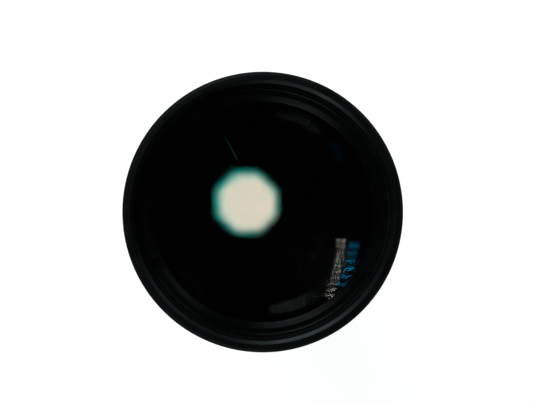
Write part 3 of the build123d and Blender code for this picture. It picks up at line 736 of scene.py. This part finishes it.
def lint_material():
    """A blue-green textile fibre."""
    material, tree, main = surface("lint", Roughness=0.7, Specular_IOR_Level=0.2)
    grained = group(tree, GRAIN, Grain=0.0003)
    base = blend(tree, grained.outputs["Height"], (0.03, 0.16, 0.19, 1), (0.09, 0.35, 0.40, 1))
    tree.links.new(base, main.inputs["Base Color"])
    return material


LINT_STEPS, LINT_LIFT = 16, 0.03
along = [k / LINT_STEPS for k in range(LINT_STEPS + 1)]
path = [(-8.45 + 2.92 * t + 0.12 * sin(pi * t), 16.55 - 5.19 * t) for t in along]
levels = [GLASS_TOP - cap_height(GLASS_CURVE, sqrt(x * x + y * y)) + LINT_LIFT for x, y in path]
fibre = bpy.data.meshes.new("lint_fibre")
fibre.from_pydata([(x * MM, y * MM, z * MM) for (x, y), z in zip(path, levels)],
                  [(k, k + 1) for k in range(LINT_STEPS)], [])
put("lint_fibre", fibre, "lens_body", trees=[(lint_tree(), {
    "Thickness": 0.06 * MM, "Material": lint_material()})])


# Front retaining ring: a stepped ring screwed down on the front glass, blackened and darkened
# with painted shade of its recess, with a conical land towards the glass and two spanner notches.
def notches_tree():
    """Square spanner notches, spread evenly round the axis."""
    tree, size = shape_tree("spanner_notches", "First Angle", "Inner Radius", "Outer Radius", "Width",
                            "Floor", whole=["Count"])
    tool_height = 0.004
    across = maths(tree, "SUBTRACT", size["Outer Radius"], size["Inner Radius"])
    sides = add(tree, "ShaderNodeCombineXYZ", across, size["Width"], tool_height)
    tool = add(tree, "GeometryNodeMeshCube", sides)
    middle = maths(tree, "MULTIPLY", maths(tree, "ADD", size["Outer Radius"], size["Inner Radius"]), 0.5)
    place = add(tree, "ShaderNodeCombineXYZ", middle, 0, maths(tree, "ADD", size["Floor"], tool_height / 2))
    cut_away(tree, size, ring_of(tree, size, add(tree, "GeometryNodeTransform", tool, Translation=place)))
    return tree


# The ring's black is darker than the barrel's anodise: partly its own blackened finish, partly painted shade
# of the recessed mouth that it sits in.
RING_BLACK_AND_SHADE = metal_finish("ring_black", dark=(0.0005, 0.0007, 0.0008), light=(0.0010, 0.0013, 0.0015),
                          rough=0.38, specular=0.10, grain=0.00018, bump=0.000003)
ring = turned("glass_ring", [
    (26.95, 108.002), (26.95, 105.517), (25.6, 105.517), (25.6, 105.577), (23.85, 105.852), (25.1, 107.202),
    (26.15, 107.202), (26.15, 107.652), (26.5, 108.002)], ease=0.04, fade=0.1, segments=320)
put("glass_ring", ring, "lens_body", ["front_retaining_ring"], [(notches_tree(), {
    "Count": 2, "First Angle": radians(206.6), "Inner Radius": 23.8 * MM, "Outer Radius": 26.5 * MM,
    "Width": 2.4 * MM, "Floor": 106.202 * MM, "Material": RING_BLACK_AND_SHADE})])


# Floor, world, lamps and camera. The floor is white where it is looked at or seen through
# the glass, and the world where it is looked at. Otherwise they are a floor in a dim studio,
# where the floor also glows round the lens: a painted pool of light that fades with distance.
def white_where_seen(tree, white, other, *rays):
    """One shader for the camera's rays and the other kinds named, and another for the rest."""
    path = tree.nodes.new("ShaderNodeLightPath").outputs
    seen = path["Is Camera Ray"]
    for ray in rays:
        seen = maths(tree, "MAXIMUM", seen, path[ray])
    return add(tree, "ShaderNodeMixShader", seen, other, white)


FLOOR_Z, FLOOR_HALF = -0.00402, 3
floor_material = bpy.data.materials.new("floor")
tree = empty_tree(floor_material)
place = tree.nodes.new("ShaderNodeTexCoord").outputs["Object"]
distance = add(tree, "ShaderNodeVectorMath", place, props={"operation": "LENGTH"}).outputs["Value"]
# Painted pool of light: near the lens the floor glows for all rays but the camera's and the glass's, fading
# out with distance, so it lights the lens from below and shows in its metal.
pool_falloff = add(tree, "ShaderNodeMapRange", distance, 0.18, 0.45, 0.75, 0.01)
painted_floor_glow = add(tree, "ShaderNodeEmission", (0.90, 1, 1, 1), pool_falloff)
dim_floor_and_glow = add(tree, "ShaderNodeAddShader", painted_floor_glow, add(tree, "ShaderNodeBsdfDiffuse", (0.15, 0.15, 0.15, 1)))
shade = add(tree, "ShaderNodeBsdfDiffuse", (0.40, 0.40, 0.40, 1))
glow = add(tree, "ShaderNodeEmission", (1, 1, 1, 1), 0.93)
add(tree, "ShaderNodeOutputMaterial", white_where_seen(
    tree, add(tree, "ShaderNodeAddShader", shade, glow), dim_floor_and_glow, "Is Transmission Ray"))
SQUARE = ((-1, -1), (1, -1), (1, 1), (-1, 1))
sheet = bpy.data.meshes.new("floor")
sheet.from_pydata([(x * FLOOR_HALF, y * FLOOR_HALF, FLOOR_Z) for x, y in SQUARE], [], [(0, 1, 2, 3)])
sheet.materials.append(floor_material)
floor = bpy.data.objects.new("floor", sheet)
bpy.context.scene.collection.objects.link(floor)

world = bpy.data.worlds.new("studio")
bpy.context.scene.world = world
tree = empty_tree(world)
towards = tree.nodes.new("ShaderNodeTexCoord").outputs["Generated"]
height = add(tree, "ShaderNodeSeparateXYZ", towards).outputs["Z"]
level = add(tree, "ShaderNodeMapRange", height, 0.02, 0.5, 0.06, 0.004)
dim = add(tree, "ShaderNodeBackground", (0.92, 1.0, 1.0, 1), level)
white = add(tree, "ShaderNodeBackground", (1, 1, 1, 1), 1.0)
add(tree, "ShaderNodeOutputWorld", white_where_seen(tree, white, dim))


LAMP_DISTANCE = 1.1
LAMP_AIM = Vector((0, 0, 0.09))


def soft_lamp(name, azimuth, elevation, width, height, power, colour):
    """A rectangular lamp that looks at the lens, a little under its front glass."""
    data = bpy.data.lights.new(name, "AREA")
    data.shape, data.size, data.size_y, data.energy, data.color = "RECTANGLE", width, height, power, colour
    lamp = bpy.data.objects.new(name, data)
    a, e = radians(azimuth), radians(elevation)
    away = Vector((cos(a) * cos(e), sin(a) * cos(e), sin(e)))
    lamp.location = LAMP_AIM + away * LAMP_DISTANCE
    lamp.rotation_mode = "QUATERNION"
    lamp.rotation_quaternion = away.to_track_quat("Z", "Y")
    lamp.visible_camera = False
    bpy.context.scene.collection.objects.link(lamp)


COOL, PALE_COOL = (0.80, 1.0, 1.0), (0.84, 1.0, 1.0)
soft_lamp("window_side", azimuth=108, elevation=28, width=0.5, height=0.3, power=3.9, colour=COOL)
soft_lamp("left_side", azimuth=248, elevation=26, width=0.5, height=0.3, power=2.2, colour=COOL)
soft_lamp("right_side", azimuth=42, elevation=24, width=0.4, height=0.3, power=0.9, colour=COOL)
soft_lamp("overhead", azimuth=140, elevation=59, width=0.4, height=0.25, power=2.0, colour=PALE_COOL)
CEILING = 1.3


def threes(rows, gap, middle):
    """Places of lamps in rows of three. Middle gives the place of a row's middle lamp from its number."""
    return [(middle(k)[0] + gap * n, middle(k)[1]) for k in range(rows) for n in (-1, 0, 1)]


def lamp_row(name, places, width, depth, colour, strength):
    """Small flat lamps side by side under the ceiling, which show only as reflections in the glass."""
    mesh = bpy.data.meshes.new(name)
    corners = [(x + dx * width / 2, y + dy * depth / 2, CEILING) for x, y in places
               for dx, dy in ((-1, -1), (-1, 1), (1, 1), (1, -1))]
    mesh.from_pydata(corners, [], [tuple(range(4 * k, 4 * k + 4)) for k in range(len(places))])
    mesh.materials.append(surface(name, "ShaderNodeEmission", Color=(*colour, 1), Strength=strength)[0])
    row = bpy.data.objects.new(name, mesh)
    row.visible_camera = False
    bpy.context.scene.collection.objects.link(row)


lamp_row("white_lamps", threes(10, 0.013, lambda k: (0.352 - 0.0005 * k * (k + 1), -0.131 - 0.0275 * k)),
         width=0.0090, depth=0.0085, colour=(1.0, 0.95, 0.84), strength=9)
lamp_row("blue_lamps", threes(6, 0.014, lambda k: (0.410 - 0.0018 * k * k, -0.154 - 0.0345 * k)),
         width=0.0095, depth=0.0095, colour=(0.0, 0.50, 1.0), strength=8)
lamp_row("far_lamps", threes(3, 0.0145, lambda k: (0.349 - 0.007 * k, 0.231 + 0.028 * k)),
         width=0.0105, depth=0.009, colour=(0.0, 0.45, 1.0), strength=0.5)

AIM = Vector((0.001, 0.00236, 0.112))
SENSOR_MM, VIEW_DISTANCE, VIEW_WIDTH = 36, 0.440, 0.1141
camera = bpy.data.objects.new("camera", bpy.data.cameras.new("camera"))
bpy.context.scene.collection.objects.link(camera)
camera.location = (-0.0034, 0.002, 0.552)
back = (camera.location - AIM).normalized()
right = Vector((0, 1, 0)).cross(back).normalized()
camera.rotation_mode = "QUATERNION"
camera.rotation_quaternion = Matrix((right, back.cross(right), back)).transposed().to_quaternion()
camera.data.lens = SENSOR_MM * VIEW_DISTANCE / VIEW_WIDTH
camera.data.clip_start, camera.data.clip_end = 0.01, 20
bpy.context.scene.camera = camera
bpy.context.scene.view_settings.view_transform = "Standard"
